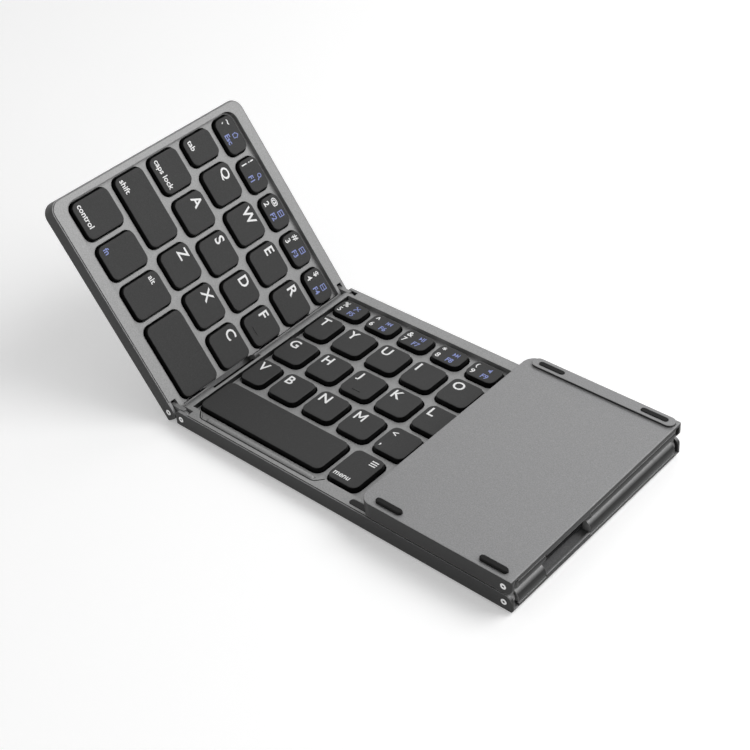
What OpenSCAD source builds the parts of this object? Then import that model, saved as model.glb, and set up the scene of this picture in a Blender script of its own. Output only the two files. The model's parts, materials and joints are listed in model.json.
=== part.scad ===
// Three-panel folding keyboard with a touch panel, in millimetres.
// +X runs along the width, +Y towards the number row and +Z up. The origin is on the floor
// under the middle of the whole part as drawn: the left panel half open, and the right panel
// closed, face down, on the centre panel.

/* [Part to draw] */
// Name of the node to draw, or all

/* [Panels] */
// Width of the centre panel
centre_w = 160.4; // [140:0.1:180]
// Width of the left panel, from its free edge to its hinge edge
left_w = 93; // [80:0.1:100]
// Width of the right panel, from its free edge to its hinge edge
right_w = 66.2; // [55:0.1:75]
// Depth of every panel, front to back
panel_d = 98; // [90:0.1:110]
// Thickness of one panel without its feet
panel_t = 6.8; // [6.4:0.1:8]
// Gap between two panels folded face to face
face_gap = 0.3; // [0.2:0.05:0.6]
// Height of the feet under a panel
foot_h = 1.25; // [1.2:0.05:2]
// Distance from the origin to the middle of the centre panel
centre_x0 = 28.9; // [0:0.1:60]

/* [Panels as drawn] */
// Opening of the left hinge link on the centre panel, 90 is flat
left_link_deg = 90; // [0:1:90]
// Opening of the left panel on its hinge link
left_flap_deg = 35; // [0:1:90]
// Opening of the right hinge link on the centre panel
right_link_deg = 0; // [0:1:90]
// Opening of the right panel on its hinge link
right_flap_deg = 0; // [0:1:90]

/* [Casing] */
// Thickness of the back covers
cover_t = 0.8; // [0.6:0.1:1]
// Thickness of the side walls, and of the ears that hold the hinge pins
wall_t = 1.3; // [1:0.1:1.6]
// Corner radius of a free panel edge, seen from above
corner_r = 5; // [2:0.5:10]
// Corner radius of a hinge edge, seen from above
hinge_corner_r = 0.6; // [0.3:0.1:1]
// Rounding of the heel of a hinge edge
heel_r = 0.6; // [0.3:0.1:1]
// Height of the narrow lip of the wall beside the frame
lip_drop = 0.25; // [0.1:0.05:0.5]
// Width of that lip
lip_w = 0.45; // [0.3:0.05:0.8]
// Height of the ledge that carries the frame
ledge_z = 5.5; // [5:0.1:6]
// Height of a cover's edge under a hinge barrel
edge_h = 1.7; // [1.2:0.1:2]
// Height of that edge in front of the cable
end_wall_h = 2.6; // [1.8:0.1:2.6]
// Thickness of that edge
end_wall_t = 0.8; // [0.6:0.1:1]

/* [Key frames] */
// Depth of the key well below the rim
well_depth = 2.2; // [1.5:0.1:2.5]
// Thickness of the web between the keys
web_t = 0.8; // [0.6:0.1:1.2]
// From the front edge of a panel to its key well
well_front = 5.6; // [4:0.1:7]
// From the rear edge of a panel to its key well
well_rear = 5; // [4:0.1:6]
// Width of the rim at the free edge of the left panel
left_rim = 3.1; // [2:0.1:5]
// Corner radius of the key well
well_r = 4.5; // [1:0.5:6]
// Depth of the thumb recess in front of the space key
thumb_depth = 3.1; // [0:0.1:3.5]
// From the left end of the space key to the thumb recess
thumb_left = 7.6; // [2:0.1:20]
// From the right end of the space key to the end of the thumb recess
thumb_right = 0.4; // [-10:0.1:2]
// Radius of the roll that a thumb rests on in the recess
thumb_roll_r = 1.6; // [1.2:0.1:2]
// Height of the roll above the web
thumb_roll_h = 0.9; // [0.4:0.1:1.4]
// From the key well forward to the roll
thumb_roll_y = 0.6; // [0:0.1:1]

/* [Keys] */
// Pitch of the letter keys on the centre panel
key_pitch = 17.8; // [16:0.1:19]
// Gap between two keys in a row of the centre panel
key_gap = 2.7; // [2:0.1:3]
// Width of a number key on the centre panel
number_w = 14.4; // [13:0.1:16]
// Width of the first key of the second and fourth rows of the centre panel
narrow_w = 12.2; // [10:0.1:14]
// Width of the space key on the centre panel
space_w = 62.9; // [50:0.1:70]
// Width of the menu key
menu_w = 14.8; // [10:0.1:18]
// From a hinge pin to the keys of the centre panel
key_inset = 1.55; // [1:0.05:3]
// Number of letter pitches that fit across the keys of the left panel
left_units = 4.83; // [4.6:0.01:5]
// Gap between two keys in a row of the left panel
left_gap = 2.3; // [2:0.1:3]
// Depth of a number key, front to back
number_d = 10.1; // [8:0.1:12]
// Depth of the space row over the depth of a letter row
space_row = 1.235; // [1:0.005:1.4]
// Gap between two rows of keys
row_gap = 2.75; // [2:0.05:3.5]
// From the rear edge of a panel to its number row
keys_rear = 6.4; // [5.5:0.1:8]
// From the front edge of a panel to its space row
keys_front = 7.4; // [6:0.1:9]
// Corner radius of a key
key_r = 3.2; // [1.5:0.1:4]
// Height of the key tops below the rim
key_drop = 0.2; // [0.1:0.05:0.5]
// Height of a key cap
key_h = 3.3; // [2.5:0.1:4]
// Step round the top face of a key
key_step = 0.5; // [0.2:0.05:0.6]
// Gap between a key and its opening
key_clear = 0.3; // [0.2:0.05:0.4]
// Width of the homing bar
homing_w = 4; // [3:0.1:6]
// From the front edge of a key to its homing bar
homing_y = 3.2; // [2:0.1:5]

/* [Hinges] */
// Radius of a hinge pin
pin_r = 0.8; // [0.6:0.05:1]
// Running clearance of a hinge pin in an ear
pin_clear = 0.03; // [0.01:0.01:0.08]
// Radius of a pin head
pin_head_r = 1.2; // [1:0.05:1.5]
// Thickness of a pin head
pin_head_t = 0.25; // [0.15:0.05:0.4]
// Clearance between a pin head and its ear
head_clear = 0.02; // [0.01:0.01:0.1]
// Radius of the hollow in a pin head
pin_hole_r = 0.45; // [0.3:0.05:0.6]
// Thickness of a hinge arm
arm_t = 1.7; // [1.5:0.1:2.5]
// Clearance beside a hinge arm
arm_gap = 0.3; // [0.2:0.05:0.4]
// Radius of an arm round its pin
arm_r = 2.2; // [1.8:0.1:2.4]
// Reach of an arm inwards from its pins
arm_rise = 3.2; // [2.2:0.1:3.3]
// Reach of an arm outwards between its pins
arm_back = 1.5; // [1:0.1:2]
// Underside of the barrel on a frame's hinge edge
barrel_low = 2.3; // [2:0.1:3]
// Front end of the cable window in the hinge
window_front = -30.7; // [-36:0.1:-20]
// Rear end of the cable window in the hinge
window_rear = -5.5; // [-12:0.1:5]
// Thickness of the cable
flex_t = 0.2; // [0.15:0.05:0.4]
// Width of the cable's free stretch between two panels
flex_w = 2.4; // [1:0.1:3]
// From the line of the pins to the cable
flex_u = 0.3; // [0.2:0.05:0.5]

/* [Feet] */
// From the front edge of a panel to the middle of its front pads
pad_edge = 3; // [2.5:0.1:5]
// From the rear edge of a panel to the middle of its ridge
ridge_edge = 2.9; // [2.5:0.1:5]
// From a hinge pin to the middle of a pad
pad_hinge = 6; // [5.5:0.1:10]
// From a free edge to the middle of a pad
pad_free = 11.8; // [8:0.1:20]
// How far the ridge runs on past a pad
ridge_end = 2.5; // [0:0.1:3]
// Length of a rubber pad
pad_l = 11.4; // [8:0.1:14]
// Width of a rubber pad
pad_w = 2.2; // [1.8:0.1:3]
// Height of the rear ridge under each panel
ridge_h = 0.95; // [0.5:0.05:1.1]
// Width of the rear ridge
ridge_w = 4.9; // [3.5:0.1:6]

/* [Touch panel] */
// Width of the touch surface
touch_w = 51; // [40:0.5:54]
// From the click bar to the touch surface
touch_front = 7.2; // [3:0.1:12]
// From the rear edge of the panel to the touch surface
touch_rear = 8; // [6:0.1:14]
// From the front edge of the panel to the click bar
click_front = 7.8; // [6:0.1:12]
// Depth of the click bar, front to back
click_d = 20; // [12:0.5:24]
// Width of the battery
battery_w = 40; // [30:0.5:50]
// Depth of the battery, front to back
battery_d = 60; // [40:0.5:70]
// Thickness of the battery
battery_h = 2.4; // [1.8:0.1:2.6]
// From the rear edge of the panel to the battery
battery_rear = 14; // [8:0.5:20]

/* [Port and window] */
// Distance of the charging port from the middle of the centre panel
port_x = 52; // [30:0.5:65]
// Distance of the indicator window from the middle of the centre panel
indicator_x = 13.3; // [0:0.1:40]
// From the front edge of the panel to the middle of the window
indicator_edge = 2.9; // [2.4:0.1:4]

/* [Hidden] */
$fn = 48;
half_d = panel_d / 2;
pin_h = panel_t / 2;
edge_e = panel_t / 2;
link_len = panel_t + face_gap;
pin_x = centre_w / 2 - edge_e;
left_free = -(left_w - edge_e);
right_free = right_w - edge_e;
web_z = panel_t - well_depth;
web_low = web_z - web_t;
key_top = panel_t - key_drop;
key_low = key_top - key_h;
arm_in = half_d - wall_t - arm_gap - arm_t;
arm_out = half_d - wall_t - arm_gap;
bay_in = arm_in - arm_gap;
head_y = half_d + head_clear;
bay_x = arm_rise + arm_gap;
seam = 0.1;
board_t = 1;
board_in = 1.2;
board_end = bay_x + arm_gap;
pad_seat = 0.25;
front_pad_y = pad_edge - half_d;
rear_pad_y = half_d - ridge_edge;
letter_w = key_pitch - key_gap;
well_y0 = well_front - half_d;
well_y1 = half_d - well_rear;

// Rows of keys: depth and front edge of each row, number row first
letter_d = (panel_d - keys_rear - keys_front - number_d - 4 * row_gap) / (3 + space_row);
row_d = [number_d, letter_d, letter_d, letter_d, space_row * letter_d];
row_y = [for (r = [0:4]) half_d - keys_rear - sum_to(row_d, r + 1) - row_gap * r];

// Left panel: widths of its keys in letter pitches, where 0 stands for what the others leave
left_key_end = key_clear - 0.4;
left_key_start = left_free + left_rim + key_clear + 0.5;
left_pitch = (left_key_end - left_key_start + left_gap) / left_units;
left_rows = [
    [0, 0.95, 0.95, 0.95, 0.95],
    [0, 1, 1, 1, 1],
    [0, 1, 1, 0.893, 0.893],
    [0, 1, 1, 1],
    [0, 0.964, 0.964, 1.874]
];

// Centre panel: the keys of a row run from this x to the same x on the right
centre_key_start = key_inset - pin_x;
centre_rows = [
    filled([], number_w, 1, 8),
    filled([narrow_w], letter_w, 1, 8),
    filled([], letter_w, 1, 12),
    filled([narrow_w], letter_w, 2, 20),
    filled([space_w, menu_w], letter_w, 5, 80)
];

body_grey = [0.56, 0.57, 0.58];
case_grey = [0.24, 0.24, 0.25];
key_black = [0.13, 0.13, 0.14];
link_grey = [0.46, 0.47, 0.48];
steel = [0.8, 0.8, 0.82];
rubber = [0.05, 0.05, 0.05];
board_green = [0.1, 0.25, 0.16];

// ---- sums and places ----

function sum_to(v, n, i = 0) = i >= n ? 0 : v[i] + sum_to(v, n, i + 1);

// widths of a centre row: its own first keys, as many of width w as leave at least `least`
// for the last ones, and `n` last keys that share what is left
function filled(first, w, n, least) =
    let (start = sum_to(first, len(first)) + key_gap * len(first),
        left = -2 * centre_key_start - start,
        count = max(0, floor((left - least) / (w + key_gap))),
        last = (left - count * (w + key_gap) + key_gap) / n - key_gap)
    concat(first, [for (i = [1:1:count]) w], [for (i = [1:n]) last]);

// widths of the left rows, with the first key filling what the others leave
function left_x(r, c) = c == 0 ? left_key_start : left_key_end + left_gap
    - left_pitch * (sum_to(left_rows[r], len(left_rows[r])) - sum_to(left_rows[r], c));
function left_width(r, c) = c == 0 ? left_x(r, 1) - left_gap - left_key_start
    : left_rows[r][c] * left_pitch - left_gap;
function centre_x(r, c) = centre_key_start + sum_to(centre_rows[r], c) + key_gap * c;

module in_centre() translate([centre_x0, 0, foot_h]) children();

module at_left_pin()
    translate([centre_x0 - pin_x - link_len * sin(left_link_deg), 0,
        foot_h + pin_h + link_len * cos(left_link_deg)])
        children();

module in_left()
    at_left_pin() rotate([0, 180 - left_link_deg - left_flap_deg, 0])
        translate([0, 0, -pin_h]) children();

module at_right_pin()
    translate([centre_x0 + pin_x + link_len * sin(right_link_deg), 0,
        foot_h + pin_h + link_len * cos(right_link_deg)])
        children();

module in_right()
    at_right_pin() rotate([0, right_link_deg + right_flap_deg - 180, 0])
        translate([0, 0, -pin_h]) children();

// a link's own frame has its origin midway between its pins, with +X facing outwards
module in_right_link()
    translate([centre_x0 + pin_x, 0, foot_h + pin_h]) rotate([0, right_link_deg, 0])
        translate([0, 0, link_len / 2]) children();

module in_left_link()
    translate([centre_x0, 0, 0]) mirror([1, 0, 0]) translate([pin_x, 0, foot_h + pin_h])
        rotate([0, left_link_deg, 0]) translate([0, 0, link_len / 2]) children();

// draws a flat X-Z shape along Y, from y0 to y1
module along_y(y0, y1)
    translate([0, y1, 0]) rotate([90, 0, 0]) linear_extrude(height = y1 - y0) children();

module slab(z0, z1) translate([0, 0, z0]) linear_extrude(height = z1 - z0) children();

// ---- flat shapes ----

module round_rect(x, y, w, d, r) {
    translate([x + r, y]) square([w - 2 * r, d]);
    translate([x, y + r]) square([w, d - 2 * r]);
    for (i = [0, 1], j = [0, 1])
        translate([x + r + i * (w - 2 * r), y + r + j * (d - 2 * r)]) circle(r = r);
}

module stadium(x, y, l, w) {
    translate([x - l / 2 + w / 2, y - w / 2]) square([l - w, w]);
    for (s = [-1, 1]) translate([x + s * (l - w) / 2, y]) circle(r = w / 2);
}

// outline of a panel from x0 to x1, with its own corner radius at each end
module outline(x0, x1, r0, r1, inset) {
    y = half_d - inset;
    a = x0 + inset;
    b = x1 - inset;
    ra = max(r0 - inset, 0.2);
    rb = max(r1 - inset, 0.2);
    translate([a + ra, -y]) square([b - rb - a - ra, 2 * y]);
    translate([a, ra - y]) square([ra * 2, 2 * (y - ra)]);
    translate([b - rb * 2, rb - y]) square([rb * 2, 2 * (y - rb)]);
    for (s = [-1, 1]) {
        translate([a + ra, s * (y - ra)]) circle(r = ra);
        translate([b - rb, s * (y - rb)]) circle(r = rb);
    }
}

// ---- hinge edges: xp is the pin's x and s is +1 where the hinge is at the right ----

// what the quarter round on top of an ear leaves out
module brow_cut(xp, s)
    along_y(-half_d - 1, half_d + 1) translate([xp, pin_h]) mirror([s < 0 ? 1 : 0, 0])
        difference() {
            square([edge_e + 1, edge_e + 1]);
            circle(r = edge_e);
        }

module heel_cut(xp, s)
    along_y(-half_d - 1, half_d + 1) translate([xp, 0]) mirror([s < 0 ? 1 : 0, 0])
        difference() {
            translate([edge_e - heel_r, -1]) square([heel_r + 1, heel_r + 1]);
            translate([edge_e - heel_r, heel_r]) circle(r = heel_r);
        }

// bores for the pins in both ears
module ear_bores(xp)
    along_y(-half_d - 1, half_d + 1) translate([xp, pin_h]) circle(r = pin_r + pin_clear);

// the cover's own low edge along a hinge, higher in front of the cable
module hinge_edge(xp, s)
    for (run = [[-bay_in, bay_in, edge_h],
        [window_front + arm_gap, window_rear - arm_gap, end_wall_h]])
        along_y(run[0], run[1]) translate([xp, 0]) mirror([s < 0 ? 1 : 0, 0])
            translate([edge_e - end_wall_t, 0]) square([end_wall_t, run[2]]);

// round edge of a frame about its pins, on both sides of the cable window
module barrel(xp, s)
    for (run = [[-bay_in, window_front], [window_rear, bay_in]])
        along_y(run[0], run[1]) translate([xp, pin_h]) mirror([s < 0 ? 1 : 0, 0])
            intersection() {
                circle(r = edge_e);
                translate([-seam, barrel_low - pin_h]) square(panel_t);
            }

// ---- casing ----

// back cover of a panel from x0 to x1; pins lists [pin x, side] for each hinge edge
module back_cover(x0, x1, r0, r1, pins, pads) {
    in0 = r0 > 1 ? x0 : x0 - 20;
    in1 = r1 > 1 ? x1 : x1 + 20;
    seat0 = r0 > 1 ? x0 : x0 + edge_e + bay_x;
    seat1 = r1 > 1 ? x1 : x1 - edge_e - bay_x;
    difference() {
        union() {
            difference() {
                slab(0, panel_t - lip_drop) outline(x0, x1, r0, r1, 0);
                slab(cover_t, panel_t + 1) outline(in0, in1, r0, r1, wall_t);
            }
            for (p = pins) hinge_edge(p[0], p[1]);
            slab(-ridge_h, cover_t / 2)
                stadium((pads[0] + pads[1]) / 2, rear_pad_y,
                    pads[1] - pads[0] + pads[2], ridge_w);
        }
        intersection() {
            slab(ledge_z, panel_t + 1) outline(x0, x1, r0, r1, lip_w);
            translate([seat0, -half_d, ledge_z]) cube([seat1 - seat0, panel_d, 3]);
        }
        for (p = pins) {
            brow_cut(p[0], p[1]);
            heel_cut(p[0], p[1]);
            ear_bores(p[0]);
        }
        for (x = [pads[0], pads[1]]) {
            slab(-1, pad_seat) stadium(x, front_pad_y, pad_l, pad_w);
            slab(-ridge_h - 1, pad_seat - ridge_h) stadium(x, rear_pad_y, pad_l, pad_w);
        }
    }
}

module foot_pads(x0, x1) for (x = [x0, x1]) {
    slab(-foot_h, pad_seat) stadium(x, front_pad_y, pad_l, pad_w);
    slab(-foot_h, pad_seat - ridge_h) stadium(x, rear_pad_y, pad_l, pad_w);
}

// plan of a frame: the rim is full at the free edge and stops at the pins
module frame_plan(x0, x1, r0, r1, pins, inset) difference() {
    outline(x0, x1, r0, r1, inset);
    for (p = pins) {
        translate([p[1] > 0 ? p[0] : p[0] - 20, -half_d]) square([20, panel_d]);
        for (s = [-1, 1])
            translate([p[1] > 0 ? p[0] - bay_x : p[0] - 20, s > 0 ? bay_in : -half_d])
                square([20 + bay_x, half_d - bay_in]);
    }
}

// key well from x0 to x1, with corners of radius r at x0
module well_plan(x0, x1, r) {
    translate([x0 + r, well_y0]) square([x1 - x0 - r, well_y1 - well_y0]);
    if (r > 0) {
        translate([x0, well_y0 + r]) square([2 * r, well_y1 - well_y0 - 2 * r]);
        for (y = [well_y0 + r, well_y1 - r]) translate([x0 + r, y]) circle(r = r);
    }
}

module thumb_plan() {
    x0 = centre_key_start + thumb_left;
    x1 = centre_key_start + space_w + thumb_right;
    polygon([[x0 - thumb_depth, well_y0 + 1], [x0 - thumb_depth, well_y0],
        [x0, well_y0 - thumb_depth], [x1, well_y0 - thumb_depth],
        [x1 + thumb_depth, well_y0], [x1 + thumb_depth, well_y0 + 1]]);
}

// round-ended roll along the recess, sunk in the web
module thumb_roll() {
    x0 = centre_key_start + thumb_left + thumb_roll_r;
    x1 = centre_key_start + space_w + thumb_right - thumb_roll_r;
    intersection() {
        translate([0, well_y0 - thumb_roll_y, web_z + thumb_roll_h - thumb_roll_r]) {
            translate([x0, 0, 0]) rotate([0, 90, 0]) cylinder(r = thumb_roll_r, h = x1 - x0);
            for (x = [x0, x1]) translate([x, 0, 0]) sphere(r = thumb_roll_r);
        }
        slab(web_low, panel_t)
            translate([x0 - thumb_roll_r, -half_d]) square([x1 - x0 + 2 * thumb_roll_r, half_d]);
    }
}

module board_plan(x0, x1, r0, a, b) intersection() {
    outline(x0, x1, r0, hinge_corner_r, wall_t + board_in);
    translate([a, -half_d]) square([b - a, panel_d]);
}

module key_holes(xs, ws, r)
    for (i = [0:len(xs) - 1])
        round_rect(xs[i] - key_clear, row_y[r] - key_clear, ws[i] + 2 * key_clear,
            row_d[r] + 2 * key_clear, key_r + key_clear);

// ---- keys ----

module cap(x, w, r) {
    slab(key_low, key_top - key_step) round_rect(x, row_y[r], w, row_d[r], key_r);
    slab(key_top - key_step, key_top)
        round_rect(x + key_step, row_y[r] + key_step, w - 2 * key_step,
            row_d[r] - 2 * key_step, key_r - key_step);
}

module homing_bar(x, w, r)
    translate([x + w / 2 - homing_w / 2, row_y[r] + homing_y, key_top - seam])
        cube([homing_w, 0.5, seam + 0.15]);

module left_cap(r, c) color(key_black) in_left() cap(left_x(r, c), left_width(r, c), r);

module centre_cap(r, c) color(key_black) in_centre() cap(centre_x(r, c), centre_rows[r][c], r);

// ---- centre panel ----

centre_pins = [[-pin_x, -1], [pin_x, 1]];
centre_pads = [-pin_x + pad_hinge, pin_x - pad_hinge,
    2 * (pad_hinge + ridge_end)];
port_w = 7.6;
port_h = 2.1;
port_z = web_low - seam - port_h;
port_d = 5.4;

module centre_back_cover() color(case_grey) in_centre() difference() {
    back_cover(-centre_w / 2, centre_w / 2, hinge_corner_r, hinge_corner_r, centre_pins,
        centre_pads);
    along_y(half_d - wall_t - 1, half_d + 1)
        round_rect(port_x - port_w / 2 - 0.2, port_z - 0.1, port_w + 0.4, port_h + 0.3, 0.8);
}

module centre_key_frame() color(body_grey) in_centre() {
    thumb_roll();
    difference() {
        union() {
            slab(web_low, panel_t)
                frame_plan(-centre_w / 2, centre_w / 2, hinge_corner_r, hinge_corner_r,
                    centre_pins, wall_t + seam);
            slab(ledge_z, panel_t)
                frame_plan(-centre_w / 2, centre_w / 2, hinge_corner_r, hinge_corner_r,
                    centre_pins, lip_w + seam);
            for (p = centre_pins) barrel(p[0], p[1]);
        }
        slab(web_z, panel_t + 1) {
            well_plan(centre_key_start - key_clear, key_clear - centre_key_start, 0);
            thumb_plan();
        }
        slab(0, panel_t) for (r = [0:4])
            key_holes([for (c = [0:len(centre_rows[r]) - 1]) centre_x(r, c)],
                centre_rows[r], r);
        slab(panel_t - window_depth, panel_t + 1)
            stadium(indicator_x, indicator_y, indicator_l + 0.1, indicator_w + 0.1);
    }
}

indicator_y = indicator_edge - half_d;
indicator_l = 12;
indicator_w = 2.7;
window_depth = 0.6;

module indicator_window() color(rubber) in_centre()
    slab(panel_t - window_depth, panel_t - 0.05)
        stadium(indicator_x, indicator_y, indicator_l, indicator_w);

module centre_key_board() color(board_green) in_centre()
    slab(cover_t, cover_t + board_t) difference() {
        board_plan(-centre_w / 2, centre_w / 2, hinge_corner_r, board_end - pin_x,
            pin_x - board_end);
        translate([port_x - port_w / 2 - 0.3, half_d - port_d - 0.6])
            square([port_w + 0.6, port_d]);
    }

module charging_port() color(steel) in_centre()
    along_y(half_d - port_d, half_d - 0.3) difference() {
        round_rect(port_x - port_w / 2, port_z, port_w, port_h, 0.7);
        round_rect(port_x - port_w / 2 + 0.35, port_z + 0.35, port_w - 0.7,
            port_h - 0.7, 0.4);
    }

module centre_foot_pads() color(rubber) in_centre() foot_pads(centre_pads[0], centre_pads[1]);

// ---- left panel ----

left_pins = [[0, 1]];
left_pads = [left_free + pad_free, -pad_hinge, 2 * (pad_hinge + ridge_end)];

module left_back_cover() color(case_grey) in_left()
    back_cover(left_free, edge_e, corner_r, hinge_corner_r, left_pins, left_pads);

module left_key_frame() color(body_grey) in_left()
    difference() {
        union() {
            slab(web_low, panel_t)
                frame_plan(left_free, edge_e, corner_r, hinge_corner_r, left_pins,
                    wall_t + seam);
            slab(ledge_z, panel_t)
                frame_plan(left_free, edge_e, corner_r, hinge_corner_r, left_pins,
                    lip_w + seam);
            barrel(0, 1);
        }
        slab(web_z, panel_t + 1)
            well_plan(left_free + left_rim, left_key_end + key_clear, well_r);
        slab(0, panel_t) for (r = [0:4])
            key_holes([for (c = [0:len(left_rows[r]) - 1]) left_x(r, c)],
                [for (c = [0:len(left_rows[r]) - 1]) left_width(r, c)], r);
    }

module left_key_board() color(board_green) in_left()
    slab(cover_t, cover_t + board_t)
        board_plan(left_free, edge_e, corner_r, left_free, -board_end);

module left_foot_pads() color(rubber) in_left() foot_pads(left_pads[0], left_pads[1]);

// ---- right panel: a touch panel, drawn closed and so face down ----

right_pins = [[0, -1]];
right_pads = [pad_hinge, right_free - pad_free, 2 * (pad_hinge + ridge_end)];
deck_t = 1.5;
deck_low = panel_t - deck_t;
touch_drop = 0.3;
touch_top = panel_t - touch_drop;
touch_x = (right_free - touch_w) / 2 + 0.6;
touch_r = 2;
touch_board_t = 1;
touch_board_low = deck_low - seam - touch_board_t;
click_y0 = click_front - half_d;
click_low = deck_low - 1.2;
touch_y0 = click_y0 + click_d + touch_front;
touch_d = half_d - touch_rear - touch_y0;

module right_back_cover() color(case_grey) in_right()
    back_cover(-edge_e, right_free, hinge_corner_r, corner_r, right_pins, right_pads);

module touch_frame() color(body_grey) in_right()
    difference() {
        union() {
            slab(deck_low, panel_t)
                frame_plan(-edge_e, right_free, hinge_corner_r, corner_r, right_pins,
                    wall_t + seam);
            slab(ledge_z, panel_t)
                frame_plan(-edge_e, right_free, hinge_corner_r, corner_r, right_pins,
                    lip_w + seam);
            barrel(0, -1);
        }
        slab(0, panel_t + 1) {
            round_rect(touch_x - seam, touch_y0 - seam, touch_w + 2 * seam,
                touch_d + 2 * seam, touch_r);
            round_rect(touch_x - key_clear, click_y0 - key_clear,
                touch_w + 2 * key_clear, click_d + 2 * key_clear, touch_r);
        }
    }

module touchpad() color(key_black) in_right()
    slab(deck_low - seam, touch_top)
        round_rect(touch_x, touch_y0, touch_w, touch_d, touch_r);

module touch_board() color(board_green) in_right()
    slab(touch_board_low, deck_low - seam)
        translate([touch_x - 1, touch_y0 - 1]) square([touch_w + 2, touch_d + 2]);

module click_bar() color(key_black) in_right()
    slab(click_low, touch_top)
        round_rect(touch_x, click_y0, touch_w, click_d, touch_r);

module battery() color(steel) in_right()
    slab(cover_t, cover_t + battery_h)
        round_rect((right_free - battery_w) / 2, half_d - battery_rear - battery_d,
            battery_w, battery_d, 1);

module right_foot_pads() color(rubber) in_right() foot_pads(right_pads[0], right_pads[1]);

// ---- hinge links ----

// outline of an arm that carries both pins, in the link's own X and Z
module arm_shape() difference() {
    union() {
        for (s = [-1, 1]) translate([0, s * link_len / 2]) circle(r = arm_r);
        translate([-arm_r, -link_len / 2]) square([arm_r + arm_back, link_len]);
        translate([-arm_rise, -link_len / 2]) square([arm_rise, link_len]);
    }
    for (s = [-1, 1]) translate([0, s * link_len / 2]) circle(r = pin_r);
}

// one arm at the front and one at the rear
module link_body() for (s = [-1, 1])
    along_y(s > 0 ? arm_in : -arm_out, s > 0 ? arm_out : -arm_in) arm_shape();

// hollow rivets: two at the front and two at the rear
module link_pins() for (s = [-1, 1], z = [-1, 1])
    translate([0, 0, z * link_len / 2]) {
        along_y(s > 0 ? arm_in : -head_y, s > 0 ? head_y : -arm_in) circle(r = pin_r);
        along_y(s > 0 ? head_y : -head_y - pin_head_t, s > 0 ? head_y + pin_head_t : -head_y)
            difference() {
                circle(r = pin_head_r);
                circle(r = pin_hole_r);
            }
    }

module link_flex()
    along_y(window_front + 0.5, window_rear - 0.5)
        translate([flex_u, -flex_w / 2]) square([flex_t, flex_w]);

module left_hinge_link() color(link_grey) in_left_link() link_body();
module left_hinge_pins() color(steel) in_left_link() link_pins();
module left_hinge_flex() color(rubber) in_left_link() link_flex();
module right_hinge_link() color(link_grey) in_right_link() link_body();
module right_hinge_pins() color(steel) in_right_link() link_pins();
module right_hinge_flex() color(rubber) in_right_link() link_flex();

// ---- keys, one module for each piece that moves ----

module left_number_keys() for (c = [0:4]) left_cap(0, c);
module tab_key() left_cap(1, 0);
module key_q() left_cap(1, 1);
module key_w() left_cap(1, 2);
module key_e() left_cap(1, 3);
module key_r_cap() left_cap(1, 4);
module caps_key() left_cap(2, 0);
module key_a() left_cap(2, 1);
module key_s() left_cap(2, 2);
module key_d() left_cap(2, 3);
module key_f() {
    left_cap(2, 4);
    color(key_black) in_left() homing_bar(left_x(2, 4), left_width(2, 4), 2);
}
module shift_key() left_cap(3, 0);
module key_z() left_cap(3, 1);
module key_x() left_cap(3, 2);
module key_c() left_cap(3, 3);
module ctrl_key() left_cap(4, 0);
module fn_key() left_cap(4, 1);
module alt_key() left_cap(4, 2);
module left_space_key() left_cap(4, 3);

module centre_number_keys() for (c = [0:len(centre_rows[0]) - 1]) centre_cap(0, c);
module key_t() centre_cap(1, 0);
module key_y() centre_cap(1, 1);
module key_u() centre_cap(1, 2);
module key_i() centre_cap(1, 3);
module key_o() centre_cap(1, 4);
module key_g() centre_cap(2, 0);
module key_hh() centre_cap(2, 1);
module key_j() {
    centre_cap(2, 2);
    color(key_black) in_centre() homing_bar(centre_x(2, 2), centre_rows[2][2], 2);
}
module key_k() centre_cap(2, 3);
module key_l() centre_cap(2, 4);
module key_v() centre_cap(3, 0);
module key_b() centre_cap(3, 1);
module key_n() centre_cap(3, 2);
module key_m() centre_cap(3, 3);
module right_space_key() centre_cap(4, 0);
module menu_key() centre_cap(4, 1);
// the comma key and every key that the folded right panel hides
module right_side_keys() {
    for (c = [5:len(centre_rows[1]) - 1]) centre_cap(1, c);
    for (c = [5:len(centre_rows[2]) - 1]) centre_cap(2, c);
    for (c = [4:len(centre_rows[3]) - 1]) centre_cap(3, c);
    for (c = [2:len(centre_rows[4]) - 1]) centre_cap(4, c);
}

centre_back_cover();
centre_key_frame();
centre_key_board();
charging_port();
indicator_window();
centre_foot_pads();
left_back_cover();
left_key_frame();
left_key_board();
left_foot_pads();
right_back_cover();
touch_frame();
touchpad();
touch_board();
click_bar();
battery();
right_foot_pads();
left_hinge_link();
left_hinge_pins();
left_hinge_flex();
right_hinge_link();
right_hinge_pins();
right_hinge_flex();
left_number_keys();
tab_key();
key_q();
key_w();
key_e();
key_r_cap();  // key_r
caps_key();
key_a();
key_s();
key_d();
key_f();
shift_key();
key_z();
key_x();
key_c();
ctrl_key();
fn_key();
alt_key();
left_space_key();
centre_number_keys();
key_t();
key_y();
key_u();
key_i();
key_o();
key_g();
key_hh();  // key_h
key_j();
key_k();
key_l();
key_v();
key_b();
key_n();
key_m();
right_space_key();
menu_key();
right_side_keys();
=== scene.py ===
# %% [markdown]
# # A folding keyboard, dressed
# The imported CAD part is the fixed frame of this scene: three panels on hinge links, with every
# key its own moving body. This lesson gives the frame its looks. First comes the frame itself,
# then the camera and the studio, the finishes, and last the pieces that the CAD keeps plain.

# %% Load the frame
import json
import math
import bmesh
import bpy
from mathutils import Matrix, Vector


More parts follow.
